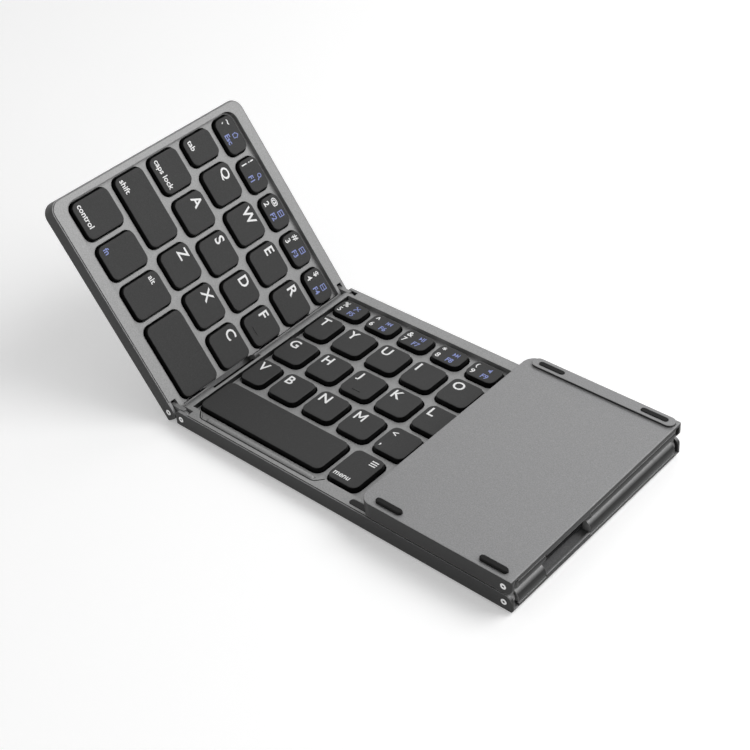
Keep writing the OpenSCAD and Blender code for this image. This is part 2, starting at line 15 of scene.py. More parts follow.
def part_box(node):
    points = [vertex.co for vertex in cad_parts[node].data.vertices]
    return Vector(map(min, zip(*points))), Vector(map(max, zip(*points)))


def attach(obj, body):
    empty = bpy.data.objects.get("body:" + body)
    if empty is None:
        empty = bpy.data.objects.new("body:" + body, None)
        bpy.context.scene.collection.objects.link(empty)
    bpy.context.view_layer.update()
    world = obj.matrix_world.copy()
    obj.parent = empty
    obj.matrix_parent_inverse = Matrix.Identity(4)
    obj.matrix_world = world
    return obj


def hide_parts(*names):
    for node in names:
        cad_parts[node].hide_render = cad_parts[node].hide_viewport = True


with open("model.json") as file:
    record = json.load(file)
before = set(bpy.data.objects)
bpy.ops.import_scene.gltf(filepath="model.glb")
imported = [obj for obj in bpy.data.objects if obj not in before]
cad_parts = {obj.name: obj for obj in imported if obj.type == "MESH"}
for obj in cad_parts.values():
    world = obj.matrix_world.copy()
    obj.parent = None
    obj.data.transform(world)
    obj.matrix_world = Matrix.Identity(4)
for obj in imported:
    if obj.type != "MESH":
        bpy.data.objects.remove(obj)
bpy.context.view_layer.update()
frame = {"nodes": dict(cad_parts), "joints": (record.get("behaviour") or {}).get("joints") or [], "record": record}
MM = 0.001

# %% [markdown]
# ## Where the panels are
# A key is easiest to think of in its own panel: x across the rows, y from the space key to the
# number row, z out of the panel. The hinge joints say where each panel is, so the three matrices
# below come from them and from the height of the centre rim. Nothing is typed twice.

# %% Panel matrices from the hinge joints
joint = {j["name"]: j for j in frame["joints"]}
pin = {name: Vector(joint[name + "_hinge"]["pos_m"])
       for name in ("left_link", "left_panel", "right_link", "right_panel")}
centre_x = (pin["left_link"].x + pin["right_link"].x) / 2
rim_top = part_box("centre_key_frame")[1].z
pin_h = rim_top - pin["left_link"].z
left_tilt = -math.radians(joint["left_panel_hinge"]["range_deg"][0])
pin_down = Matrix.Translation((0, 0, -pin_h))
PANEL = {
    "centre": Matrix.Translation((centre_x, 0, pin["left_link"].z - pin_h)),
    "left": Matrix.Translation(pin["left_panel"]) @ Matrix.Rotation(left_tilt, 4, "Y") @ pin_down,
    "right": Matrix.Translation(pin["right_panel"]) @ Matrix.Rotation(-math.pi, 4, "Y") @ pin_down,
}
for name, matrix in PANEL.items():
    print(name, "panel at", [round(v / MM, 2) for v in matrix.translation])

# %% [markdown]
# ## The camera
# The photograph looks down on the keyboard from its front right corner. The place and the lens
# were solved by least squares from the edges of the panels, so they are numbers, not choices.

# %% Camera
SENSOR_WIDTH, LENS = 36, 75.8208
CAMERA_AT = (0.330536, -0.323290, 0.382290)
CAMERA_TURN_DEG = (51.5023, 4.3372, 41.4692)
camera_data = bpy.data.cameras.new("camera")
camera_data.sensor_width = SENSOR_WIDTH
camera_data.lens = LENS
camera_data.clip_start = 10 * MM
camera = bpy.data.objects.new("camera", camera_data)
camera.location = CAMERA_AT
camera.rotation_euler = [math.radians(angle) for angle in CAMERA_TURN_DEG]
bpy.context.scene.collection.objects.link(camera)
bpy.context.scene.camera = camera
print("camera", round(camera.location.length, 3), "m from the origin")

# %% [markdown]
# ## One helper for every node tree
# Shaders and Geometry Nodes are both trees of nodes. This helper adds a node, sets its options,
# and then gives each input either a number or a link, so that a tree reads like a sentence.

# %% A helper that adds a node


def put(tree, kind, options=None, inputs=None, out=0):
    """Adds a node and returns one of its outputs. An input that is a socket is linked."""
    node = tree.nodes.new(kind)
    for key, value in (options or {}).items():
        setattr(node, key, value)
    for key, value in (inputs or {}).items():
        if isinstance(value, bpy.types.NodeSocket):
            tree.links.new(value, node.inputs[key])
        else:
            node.inputs[key].default_value = value
    return node.outputs[out]


def math_of(tree, operation, *values):
    """A scalar Math node."""
    return put(tree, "ShaderNodeMath", {"operation": operation}, dict(enumerate(values)))


def vector_of(tree, operation, *values, out=0):
    """A Vector Math node; scale goes to the socket of that name."""
    inputs = dict(enumerate(values))
    if operation == "SCALE":
        inputs = {0: values[0], "Scale": values[1]}
    return put(tree, "ShaderNodeVectorMath", {"operation": operation}, inputs, out)


def new_group(name, kind, ins, outs):
    """An empty node group with named sockets; returns the tree, its inputs and its output."""
    tree = bpy.data.node_groups.new(name, kind)
    for label, socket, value in ins:
        made = tree.interface.new_socket(label, in_out="INPUT", socket_type=socket)
        if value is not None:
            made.default_value = value
    for label, socket in outs:
        tree.interface.new_socket(label, in_out="OUTPUT", socket_type=socket)
    return tree, tree.nodes.new("NodeGroupInput").outputs, tree.nodes.new("NodeGroupOutput").inputs


FLOAT, COLOR, VECTOR = "NodeSocketFloat", "NodeSocketColor", "NodeSocketVector"

# %% [markdown]
# ## The studio
# The photograph is a cut-out on white: the light is broad, comes mostly from above, behind and
# the right, and leaves a soft dark shadow along the foot of the keyboard. Large area lamps make that
# light. The world and the floor look white to the camera and in reflections, through the Light
# Path node, while the light that they give to the object stays low, so that colours keep their
# written level and the floor still takes the shadow.

# %% World, floor and lamps
world = bpy.data.worlds.new("white studio")
world.use_nodes = True
bpy.context.scene.world = world
sky = world.node_tree
sky.nodes.clear()


def looked_at(tree):
    """One for rays from the camera and for those that a gloss or a glass sends on."""
    ray = tree.nodes.new("ShaderNodeLightPath").outputs
    glass = math_of(tree, "MAXIMUM", ray["Is Glossy Ray"], ray["Is Transmission Ray"])
    return math_of(tree, "MAXIMUM", ray["Is Camera Ray"], glass)


WHITE = (1, 1, 1, 1)
FLOOR_GREY = (0.9, 0.9, 0.9, 1)
WORLD_LIGHT, FLOOR_GLOW = 0.3, 0.3
FLOOR_SIZE = 8
dim = put(sky, "ShaderNodeBackground", None, {"Color": WHITE, "Strength": WORLD_LIGHT})
bright = put(sky, "ShaderNodeBackground", None, {"Color": WHITE, "Strength": 1.0})
mixed = put(sky, "ShaderNodeMixShader", None, {0: looked_at(sky), 1: dim, 2: bright})
sky_out = sky.nodes.new("ShaderNodeOutputWorld")
sky.links.new(mixed, sky_out.inputs["Surface"])

floor_paint = bpy.data.materials.new("pale floor")
floor_paint.use_nodes = True
tree = floor_paint.node_tree
tree.nodes.clear()
matt = put(tree, "ShaderNodeBsdfDiffuse", None, {"Color": FLOOR_GREY})
glow_level = math_of(tree, "MULTIPLY", looked_at(tree), FLOOR_GLOW)
glow = put(tree, "ShaderNodeEmission", None, {"Color": WHITE, "Strength": glow_level})
both = put(tree, "ShaderNodeAddShader", None, {0: matt, 1: glow})
floor_out = tree.nodes.new("ShaderNodeOutputMaterial")
tree.links.new(both, floor_out.inputs["Surface"])

bpy.ops.mesh.primitive_plane_add(size=FLOOR_SIZE)
floor = bpy.context.object
floor.name = "floor"
floor.data.materials.append(floor_paint)

# Name, place, the point it is turned to, width in metres, power in watts
LAMPS = [
    ("soft box behind, to the right", (0.45, 0.42, 0.72), (0, 0, 0), 0.6, 4.9),
    ("fill from the right", (0.9, 0.1, 0.5), (0, 0, 0.02), 0.6, 1.3),
    ("fill from the front", (0.1, -0.9, 0.5), (0, 0, 0.02), 0.6, 0.5),
    ("sheen from behind", (-0.4, 0.75, 0.75), (0, 0, 0.02), 0.7, 1.6),
]
for name, place, aim, size, power in LAMPS:
    light = bpy.data.lights.new(name, "AREA")
    light.energy = power
    light.size = size
    lamp = bpy.data.objects.new(name, light)
    lamp.location = place
    lamp.rotation_euler = (Vector(aim) - Vector(place)).to_track_quat("-Z", "Y").to_euler()
    bpy.context.scene.collection.objects.link(lamp)
bpy.context.scene.view_settings.view_transform = "Standard"
print("studio:", len(LAMPS), "soft boxes")

# %% [markdown]
# ## Shared effects
# Three effects turn up again and again. Each is a node group, built once and used with its own
# numbers. The first is the surface itself: sprayed paint has a fine grain with brighter flakes,
# and its tone and gloss are a little cloudy, since no handled surface is even. A fast noise gives
# the grain, a slow one the clouds, and the few brightest Voronoi cells are the flakes.

# %% Group: grain and flakes
CLOUD_SCALE = 45.0
FLAKE_SCALE = 0.7
FLAKES_ABOVE = 0.86
GRAIN_IN_GLOSS = 0.06
grain_group, given, output = new_group(
    "paint grain", "ShaderNodeTree",
    [("Color", COLOR, None), ("Flake", COLOR, None), ("Grain", FLOAT, 2500.0),
     ("Contrast", FLOAT, 0.1), ("Flakes", FLOAT, 0.1), ("Roughness", FLOAT, 0.5),
     ("Clouds", FLOAT, 0.05)],
    [("Color", COLOR), ("Roughness", FLOAT), ("Height", FLOAT)])
where = put(grain_group, "ShaderNodeTexCoord", out="Object")
fine = put(grain_group, "ShaderNodeTexNoise", None,
           {"Vector": where, "Scale": given["Grain"], "Detail": 2.0, "Roughness": 0.6})
cloud = put(grain_group, "ShaderNodeTexNoise", None,
            {"Vector": where, "Scale": CLOUD_SCALE, "Detail": 4.0, "Roughness": 0.55})
cell = put(grain_group, "ShaderNodeTexVoronoi", None,
           {"Vector": where, "Scale": math_of(grain_group, "MULTIPLY", given["Grain"], FLAKE_SCALE)},
           out="Color")
pick = put(grain_group, "ShaderNodeMapRange", None,
           {"Value": put(grain_group, "ShaderNodeSeparateColor", None, {0: cell}),
            "From Min": FLAKES_ABOVE, "From Max": 1.0, "To Min": 0.0, "To Max": 1.0})
flake = math_of(grain_group, "MULTIPLY", pick, given["Flakes"])
spread = math_of(grain_group, "SUBTRACT", fine, 0.5)
shade = math_of(grain_group, "MULTIPLY_ADD", spread, given["Contrast"], 1.0)
drift = math_of(grain_group, "MULTIPLY_ADD",
                math_of(grain_group, "SUBTRACT", cloud, 0.5), given["Clouds"], shade)
toned = vector_of(grain_group, "SCALE", given["Color"], drift)
flaked = put(grain_group, "ShaderNodeMix", {"data_type": "RGBA"},
             {"Factor": flake, "A": toned, "B": given["Flake"]}, out="Result")
grain_group.links.new(flaked, output["Color"])
rough = math_of(grain_group, "MULTIPLY_ADD",
                math_of(grain_group, "SUBTRACT", cloud, 0.5), given["Clouds"], given["Roughness"])
rough = math_of(grain_group, "MULTIPLY_ADD", spread, GRAIN_IN_GLOSS, rough)
grain_group.links.new(rough, output["Roughness"])
grain_group.links.new(fine, output["Height"])
print("group:", grain_group.name)

# %% [markdown]
# Every moulded or pressed edge is a little round and catches the light. The Bevel node gives that
# without changing a mesh, and where its normal leaves the face's own, there is an edge to wear.

# %% Group: rounded and worn edges
EDGE_FROM, EDGE_TO = 0.99, 0.8
WEAR_SCALE = 320.0
edge_group, given, output = new_group(
    "worn edge", "ShaderNodeTree",
    [("Color", COLOR, None), ("Worn", COLOR, None), ("Radius", FLOAT, 0.0003),
     ("Wear", FLOAT, 0.3)],
    [("Color", COLOR), ("Normal", VECTOR)])
round_normal = put(edge_group, "ShaderNodeBevel", {"samples": 4}, {"Radius": given["Radius"]})
face_normal = put(edge_group, "ShaderNodeNewGeometry", out="Normal")
turn = vector_of(edge_group, "DOT_PRODUCT", round_normal, face_normal, out="Value")
on_edge = put(edge_group, "ShaderNodeMapRange", None,
              {"Value": turn, "From Min": EDGE_FROM, "From Max": EDGE_TO, "To Min": 0.0,
               "To Max": 1.0})
patch = put(edge_group, "ShaderNodeTexNoise", None,
            {"Vector": put(edge_group, "ShaderNodeTexCoord", out="Object"),
             "Scale": WEAR_SCALE, "Detail": 3.0})
wear = math_of(edge_group, "MULTIPLY", on_edge, math_of(edge_group, "MULTIPLY", patch, given["Wear"]))
worn = put(edge_group, "ShaderNodeMix", {"data_type": "RGBA"},
           {"Factor": wear, "A": given["Color"], "B": given["Worn"]}, out="Result")
edge_group.links.new(worn, output["Color"])
edge_group.links.new(round_normal, output["Normal"])
print("group:", edge_group.name)

# %% [markdown]
# The sprayed parts are given two tones, and the dark one is partly a darker wall paint and partly
# painted shade. How far a face turns from one axis of its panel decides which: a cover is light
# where it faces out of the panel, a rim is painted dark where it faces along the rows. Past the lip,
# a rim's front and rear faces get the same painted shade.

# %% Group: plate and wall
wall_group, given, output = new_group(
    "plate and painted wall shade", "ShaderNodeTree",
    [("Plate", COLOR, None), ("Wall", COLOR, None), ("Axis", VECTOR, (0, 0, 1)),
     ("Wall at", FLOAT, 0.55), ("Plate at", FLOAT, 0.95), ("Lip", FLOAT, 1.0)],
    [("Color", COLOR), ("On plate", FLOAT)])
own_normal = put(wall_group, "ShaderNodeTexCoord", out="Normal")
along = math_of(wall_group, "ABSOLUTE",
                vector_of(wall_group, "DOT_PRODUCT", own_normal, given["Axis"], out="Value"))
faces_out = put(wall_group, "ShaderNodeMapRange", None,
                {"Value": along, "From Min": given["Wall at"], "From Max": given["Plate at"],
                 "To Min": 0.0, "To Max": 1.0})
beyond, sideways = (
    math_of(wall_group, "GREATER_THAN",
            math_of(wall_group, "ABSOLUTE", put(
                wall_group, "ShaderNodeSeparateXYZ", None,
                {0: put(wall_group, "ShaderNodeTexCoord", out=source)}, out=1)), limit)
    for source, limit in (("Object", given["Lip"]), ("Normal", 0.5)))
lip = math_of(wall_group, "MULTIPLY", beyond, sideways)
plate = math_of(wall_group, "MULTIPLY", faces_out, math_of(wall_group, "SUBTRACT", 1.0, lip))
# Walls and the outer lip get the Wall colour, a darker paint and painted shade in one.
tone_and_painted_shade = put(wall_group, "ShaderNodeMix", {"data_type": "RGBA"},
               {"Factor": plate, "A": given["Wall"], "B": given["Plate"]}, out="Result")
wall_group.links.new(tone_and_painted_shade, output["Color"])
wall_group.links.new(plate, output["On plate"])
print("group:", wall_group.name)

# %% [markdown]
# ## Finishes
# A finish is one material: grain first, then the edge, then the Principled shader. Numbers that
# are the same all over go straight on the shader's sockets. Colours are written as the eye sees
# them, and turned to the linear values that Blender works in.

# %% A function that mixes a finish


def seen_as(level, tint=(1.0, 1.0, 1.0)):
    """Linear colour of a grey that shows on screen as level out of 255."""
    value = [level / 255 * t for t in tint]
    linear = [v / 12.92 if v <= 0.04045 else ((v + 0.055) / 1.055) ** 2.4 for v in value]
    return (*linear, 1.0)


def finish(name, colour, rough, flake=None, grain=2500.0, contrast=0.1, flakes=0.0, clouds=0.05,
           metallic=0.0, edge=0.0003, wear=0.25, worn=None, bump=0.02, coat=0.0, gloss=0.5,
           wall=None, axis=(0, 0, 1), turn=(0.55, 0.95), lip=1.0):
    """A procedural material made of the shared groups."""
    material = bpy.data.materials.new(name)
    material.use_nodes = True
    tree = material.node_tree
    shader = tree.nodes["Principled BSDF"]
    base = colour
    if wall:
        two = tree.nodes.new("ShaderNodeGroup")
        two.node_tree = wall_group
        for key, value in {"Plate": colour, "Wall": wall, "Axis": axis, "Wall at": turn[0],
                           "Plate at": turn[1], "Lip": lip}.items():
            two.inputs[key].default_value = value
        base = two.outputs["Color"]
        flakes = math_of(tree, "MULTIPLY", two.outputs["On plate"], flakes)
    grained = tree.nodes.new("ShaderNodeGroup")
    grained.node_tree = grain_group
    for key, value in {"Color": base, "Flake": flake or colour, "Grain": grain,
                       "Contrast": contrast, "Flakes": flakes, "Roughness": rough,
                       "Clouds": clouds}.items():
        if isinstance(value, bpy.types.NodeSocket):
            tree.links.new(value, grained.inputs[key])
        else:
            grained.inputs[key].default_value = value
    edged = tree.nodes.new("ShaderNodeGroup")
    edged.node_tree = edge_group
    tree.links.new(grained.outputs["Color"], edged.inputs["Color"])
    edged.inputs["Worn"].default_value = worn or flake or colour
    edged.inputs["Radius"].default_value = edge
    edged.inputs["Wear"].default_value = wear
    relief = put(tree, "ShaderNodeBump", None,
                 {"Strength": bump, "Distance": 0.0002, "Height": grained.outputs["Height"],
                  "Normal": edged.outputs["Normal"]})
    tree.links.new(edged.outputs["Color"], shader.inputs["Base Color"])
    tree.links.new(grained.outputs["Roughness"], shader.inputs["Roughness"])
    tree.links.new(relief, shader.inputs["Normal"])
    shader.inputs["Metallic"].default_value = metallic
    shader.inputs["Specular IOR Level"].default_value = gloss
    shader.inputs["Coat Weight"].default_value = coat
    shader.inputs["Coat Roughness"].default_value = 0.25
    return material


# %% [markdown]
# The casing is sprayed a mid grey with fine flakes. Its plates and rims are lighter than its
# walls, whose dark tone is partly a darker paint and partly painted shade. Keys are matt black
# plastic whose tops are etched and whose sides are left glossy.

# %% The finishes of this keyboard
GREY = seen_as(136, (1.0, 1.0, 1.005))
BRIGHT = seen_as(180)
out_of = {name: m.to_3x3() @ Vector((0, 0, 1)) for name, m in PANEL.items()}
across = {name: m.to_3x3() @ Vector((1, 0, 0)) for name, m in PANEL.items()}
LIP_Y = 0.0483
# Wall colours: a darker paint and painted shade, so walls, lips and barrels turned from the light come out dark.
shaded_cover_paint = {
    name: finish("cover paint and painted shade " + name, GREY, 0.45, flake=BRIGHT, grain=2300, contrast=0.8,
                 flakes=0.08, clouds=0.05, metallic=0.25, edge=0.0005, wear=0.5, bump=0.05,
                 gloss=0.3, wall=seen_as(44), axis=axis)
    for name, axis in out_of.items()}
shaded_rim_paint = {
    name: finish("rim paint " + name, seen_as(144), 0.45, flake=BRIGHT, grain=2300,
                 contrast=0.7, flakes=0.08, clouds=0.05, metallic=0.25, edge=0.0003, wear=0.4,
                 bump=0.05, gloss=0.3, wall=seen_as(34), axis=axis, turn=(0.85, 0.5), lip=LIP_Y)
    for name, axis in across.items()}
key_top = finish("etched key top", seen_as(54), 0.62, flake=seen_as(80), grain=2300,
                 contrast=0.8, flakes=0.1, clouds=0.06, edge=0.0001, wear=0.1, bump=0.06,
                 gloss=0.25)
key_side = finish("glossy key side", seen_as(5), 0.3, grain=900, contrast=0.1, clouds=0.03,
                  edge=0.0002, wear=0.1, worn=seen_as(30), bump=0.0, gloss=0.1)
rubber = finish("rubber", seen_as(20), 0.6, grain=2600, contrast=0.4, clouds=0.1, edge=0.0003,
                wear=0.3, worn=seen_as(48), bump=0.2, gloss=0.15)
ribbon = finish("ribbon cable", seen_as(8), 0.7, grain=1200, contrast=0.4, clouds=0.1,
                edge=0.0001, wear=0.0, bump=0.05, gloss=0.05)
link_metal = finish("hinge arm", seen_as(132), 0.4, flake=BRIGHT, grain=2900, contrast=0.3,
                    flakes=0.1, metallic=0.35, edge=0.0002, wear=0.5, worn=BRIGHT, bump=0.05,
                    gloss=0.3)
rivet_steel = finish("rivet steel", seen_as(235), 0.3, grain=1500, contrast=0.12,
                     metallic=0.7, edge=0.0001, wear=0.0, bump=0.04)
# The bore colour is painted shade: a near-black shaft stands for the dark hollow of the rivet.
rivet_bore_shade = finish("rivet bore painted shade", seen_as(8), 0.7, grain=1500, contrast=0.3, edge=0.0001,
                    wear=0.0, bump=0.04, gloss=0.1)
board = finish("circuit board", seen_as(34, (0.7, 1.0, 0.8)), 0.45, flake=seen_as(90), grain=900,
               contrast=0.3, flakes=0.2, edge=0.0001, wear=0.0, bump=0.05)
window = finish("dark window", seen_as(12), 0.3, grain=900, contrast=0.2, clouds=0.04,
                edge=0.0001, wear=0.0, bump=0.0, gloss=0.15)
touch_film = finish("touch film", seen_as(40), 0.35, flake=seen_as(70), grain=4200,
                    contrast=0.2, flakes=0.15, clouds=0.1, edge=0.0002, wear=0.2, bump=0.04)
foil = finish("battery foil", seen_as(150), 0.35, grain=600, contrast=0.2, metallic=0.8,
              edge=0.0004, wear=0.2, bump=0.1)
white_print = finish("white print", seen_as(240), 0.5, grain=4200, contrast=0.08, edge=0.00002,
                     wear=0.0, bump=0.0)
blue_print = finish("blue print", seen_as(205, (0.64, 0.70, 0.98)), 0.5, grain=4200,
                    contrast=0.08, edge=0.00002, wear=0.0, bump=0.0)
print("finishes:", len(bpy.data.materials))

# %% [markdown]
# The record names a material slot for each CAD node. Covers and frames take the paint of their own
# panel, since the axis of its painted shade turns with it, and the cables take the cable's finish.

# %% Give each CAD node its finish
BY_SLOT = {"key": key_top, "board": board, "rubber": rubber, "hinge_link": link_metal,
           "steel": rivet_steel, "window": window, "touch_surface": touch_film, "battery": foil}
for part in frame["record"]["subparts"]:
    node, slot = part["node"], part["material_slot"]
    side = "right" if node == "touch_frame" else node.split("_")[0]
    if slot in ("back_cover", "frame"):
        paint = (shaded_cover_paint if slot == "back_cover" else shaded_rim_paint)[side]
    else:
        paint = ribbon if node.endswith("_hinge_flex") else BY_SLOT[slot]
    mesh = frame["nodes"][node].data
    mesh.materials.clear()
    mesh.materials.append(paint)

# %% [markdown]
# ## Finding the keys
# The CAD has plain stepped blocks for keys. Each solid's box in its own panel tells where a
# better key goes. Some nodes hold several keys, so the mesh is copied, its doubles merged, and
# the copy split into connected islands, which are then put in reading order.

# %% Boxes of the keys, in their own panel
ROW_STEP = 4


def solids_of(node, panel):
    """Boxes of a node's solids in panel coordinates, by row from the rear and then by x."""
    shape = bmesh.new()
    shape.from_mesh(frame["nodes"][node].data)
    bmesh.ops.remove_doubles(shape, verts=shape.verts, dist=1e-6)
    shape.transform(PANEL[panel].inverted())
    left, boxes = set(shape.verts), []
    while left:
        stack, island = [left.pop()], []
        while stack:
            vertex = stack.pop()
            island.append(vertex.co)
            for edge in vertex.link_edges:
                other = edge.other_vert(vertex)
                if other in left:
                    left.remove(other)
                    stack.append(other)
        low = Vector([min(c[i] for c in island) for i in range(3)])
        high = Vector([max(c[i] for c in island) for i in range(3)])
        boxes.append((low, high))
    shape.free()
    return sorted(boxes, key=lambda box: (-round(box[0].y / MM / ROW_STEP), box[0].x))


LEFT_KEYS = ("left_number_keys tab_key key_q key_w key_e key_r caps_key key_a key_s key_d key_f "
             "shift_key key_z key_x key_c ctrl_key fn_key alt_key left_space_key").split()
CENTRE_KEYS = ("centre_number_keys key_t key_y key_u key_i key_o key_g key_h key_j key_k key_l "
               "key_v key_b key_n key_m right_space_key menu_key right_side_keys").split()
keys = {node: ("left" if node in LEFT_KEYS else "centre",
               solids_of(node, "left" if node in LEFT_KEYS else "centre"))
        for node in LEFT_KEYS + CENTRE_KEYS}
top_z = min(box[1].z for panel, boxes in keys.values() for box in boxes)

# %% [markdown]
# ## A key cap as a rule
# Seen from above, a cap is a rectangle with round corners. Its top is dished a little, its edge
# rolls over, and its side slopes out to its foot by the draft. That is a rule, so one Geometry
# Nodes tree makes every cap: a grid is bent to the round-cornered outline, its rim is extruded
# step by step round the roll, and then down. The same tree makes the pads, the window, the touch
# surface and the click bar, which have no draft and no dish.

# %% The cap tree
ROLL_STEPS = 4
cap_tree, given, output = new_group(
    "rounded cap", "GeometryNodeTree",
    [("Width", FLOAT, 0.015), ("Depth", FLOAT, 0.015), ("Height", FLOAT, 0.003),
     ("Corner", FLOAT, 0.003), ("Roll", FLOAT, 0.0005), ("Draft", FLOAT, 0.0),
     ("Dish", FLOAT, 0.0),
     ("Columns", "NodeSocketInt", 20), ("Rows", "NodeSocketInt", 20),
     ("Top finish", "NodeSocketMaterial", None), ("Side finish", "NodeSocketMaterial", None)],
    [("Geometry", "NodeSocketGeometry")])
tree = cap_tree
inset = math_of(tree, "ADD", given["Roll"], given["Draft"])
flat_w = math_of(tree, "SUBTRACT", given["Width"], math_of(tree, "MULTIPLY", inset, 2.0))
flat_d = math_of(tree, "SUBTRACT", given["Depth"], math_of(tree, "MULTIPLY", inset, 2.0))
flat_r = math_of(tree, "SUBTRACT", given["Corner"], inset)
grid = put(tree, "GeometryNodeMeshGrid", None,
           {"Size X": flat_w, "Size Y": flat_d, "Vertices X": given["Columns"],
            "Vertices Y": given["Rows"]})
spot = put(tree, "GeometryNodeInputPosition")
inner = put(tree, "ShaderNodeCombineXYZ", None,
            {0: math_of(tree, "SUBTRACT", math_of(tree, "MULTIPLY", flat_w, 0.5), flat_r),
             1: math_of(tree, "SUBTRACT", math_of(tree, "MULTIPLY", flat_d, 0.5), flat_r)})
core = vector_of(tree, "MAXIMUM", vector_of(tree, "MINIMUM", spot, inner),
                 vector_of(tree, "SCALE", inner, -1.0))
arm = vector_of(tree, "SUBTRACT", spot, core)
reach = tree.nodes.new("ShaderNodeSeparateXYZ")
tree.links.new(vector_of(tree, "ABSOLUTE", arm), reach.inputs[0])
square_len = math_of(tree, "MAXIMUM", reach.outputs[0], reach.outputs[1])
round_len = math_of(tree, "MAXIMUM", vector_of(tree, "LENGTH", arm, out="Value"), 1e-9)
bend = math_of(tree, "DIVIDE", square_len, round_len)
bent = vector_of(tree, "ADD", core, vector_of(tree, "SCALE", arm, bend))
ratio = vector_of(tree, "DIVIDE", bent, put(tree, "ShaderNodeCombineXYZ", None, {
    0: math_of(tree, "MULTIPLY", flat_w, 0.5), 1: math_of(tree, "MULTIPLY", flat_d, 0.5), 2: 1.0}))
part = tree.nodes.new("ShaderNodeSeparateXYZ")
tree.links.new(vector_of(tree, "MULTIPLY", ratio, ratio), part.inputs[0])
bowl = math_of(tree, "MULTIPLY", math_of(tree, "SUBTRACT", 1.0, part.outputs[0]),
               math_of(tree, "SUBTRACT", 1.0, part.outputs[1]))
sink = math_of(tree, "MULTIPLY", math_of(tree, "MULTIPLY", bowl, given["Dish"]), -1.0)
dished = vector_of(tree, "ADD", bent, put(tree, "ShaderNodeCombineXYZ", None, {2: sink}))


def stored(tree, mesh, name, value):
    """Keeps a vector on the points, so that points extruded from them know it too."""
    return put(tree, "GeometryNodeStoreNamedAttribute",
               {"data_type": "FLOAT_VECTOR", "domain": "POINT"},
               {"Geometry": mesh, "Name": name, "Value": value})


def recalled(tree, name):
    return put(tree, "GeometryNodeInputNamedAttribute", {"data_type": "FLOAT_VECTOR"},
               {"Name": name})


mesh = stored(tree, grid, "outward", vector_of(tree, "NORMALIZE", arm))
mesh = stored(tree, mesh, "rim", bent)
mesh = put(tree, "GeometryNodeSetPosition", None, {"Geometry": mesh, "Position": dished})
mesh = put(tree, "GeometryNodeSetMaterial", None, {"Geometry": mesh, "Material": given["Top finish"]})
one_face = put(tree, "GeometryNodeInputMeshEdgeNeighbors")
open_edge = put(tree, "FunctionNodeCompare", {"data_type": "INT", "operation": "EQUAL"},
                {2: one_face, 3: 1})
for step in range(1, ROLL_STEPS + 2):
    angle = min(step, ROLL_STEPS) / ROLL_STEPS * math.pi / 2
    out_by = math_of(tree, "MULTIPLY", given["Roll"], math.sin(angle))
    down_by = math_of(tree, "MULTIPLY", given["Roll"], math.cos(angle) - 1)
    if step > ROLL_STEPS:
        out_by = inset
        down_by = math_of(tree, "MULTIPLY", given["Height"], -1.0)
    extrude = tree.nodes.new("GeometryNodeExtrudeMesh")
    extrude.mode = "EDGES"
    tree.links.new(mesh, extrude.inputs["Mesh"])
    tree.links.new(open_edge, extrude.inputs["Selection"])
    extrude.inputs["Offset Scale"].default_value = 0.0
    to = vector_of(tree, "ADD", vector_of(tree, "ADD", recalled(tree, "rim"),
                   vector_of(tree, "SCALE", recalled(tree, "outward"), out_by)),
                   put(tree, "ShaderNodeCombineXYZ", None, {2: down_by}))
    mesh = put(tree, "GeometryNodeSetPosition", None,
               {"Geometry": extrude.outputs["Mesh"], "Selection": extrude.outputs["Top"],
                "Position": to})
    mesh = put(tree, "GeometryNodeSetMaterial", None,
               {"Geometry": mesh, "Selection": extrude.outputs["Side"],
                "Material": given["Side finish" if step > ROLL_STEPS else "Top finish"]})
loop = put(tree, "GeometryNodeMeshToCurve", None, {"Mesh": mesh, "Selection": open_edge})
base = put(tree, "GeometryNodeFillCurve", None, {"Curve": loop})
foot = put(tree, "ShaderNodeCombineXYZ", None, {2: math_of(tree, "MULTIPLY", given["Height"], -1.0)})
base = put(tree, "GeometryNodeTransform", None, {"Geometry": base, "Translation": foot})
base = put(tree, "GeometryNodeSetMaterial", None, {"Geometry": base, "Material": given["Side finish"]})
join = tree.nodes.new("GeometryNodeJoinGeometry")
for piece in (base, mesh):
    tree.links.new(piece, join.inputs[0])
closed = put(tree, "GeometryNodeMergeByDistance", None, {"Geometry": join.outputs[0], "Distance": 1e-5})
for name in ("outward", "rim"):
    closed = put(tree, "GeometryNodeRemoveAttribute", None, {"Geometry": closed, "Name": name})
tree.links.new(put(tree, "GeometryNodeRealizeInstances", None, {"Geometry": closed}), output["Geometry"])
print("tree:", cap_tree.name, "with", len(cap_tree.nodes), "nodes")

# %% [markdown]
# ## From trees to plain meshes
# The export wants plain meshes with their place in the mesh. So a tree is run on a scratch
# object, its result is read once, and several results can be gathered in one piece.

# %% Helpers that run a tree and gather meshes


def grown(tree, **values):
    """The mesh a Geometry Nodes tree makes from these inputs."""
    scratch = bpy.data.objects.new("scratch", bpy.data.meshes.new("scratch"))
    bpy.context.scene.collection.objects.link(scratch)
    modifier = scratch.modifiers.new("tree", "NODES")
    modifier.node_group = tree
    for item in tree.interface.items_tree:
        label = item.name.replace(" ", "_").lower()
        if item.item_type == "SOCKET" and item.in_out == "INPUT" and label in values:
            modifier[item.identifier] = values[label]
    graph = bpy.context.evaluated_depsgraph_get()
    mesh = bpy.data.meshes.new_from_object(scratch.evaluated_get(graph), depsgraph=graph)
    bpy.data.objects.remove(scratch)
    return mesh


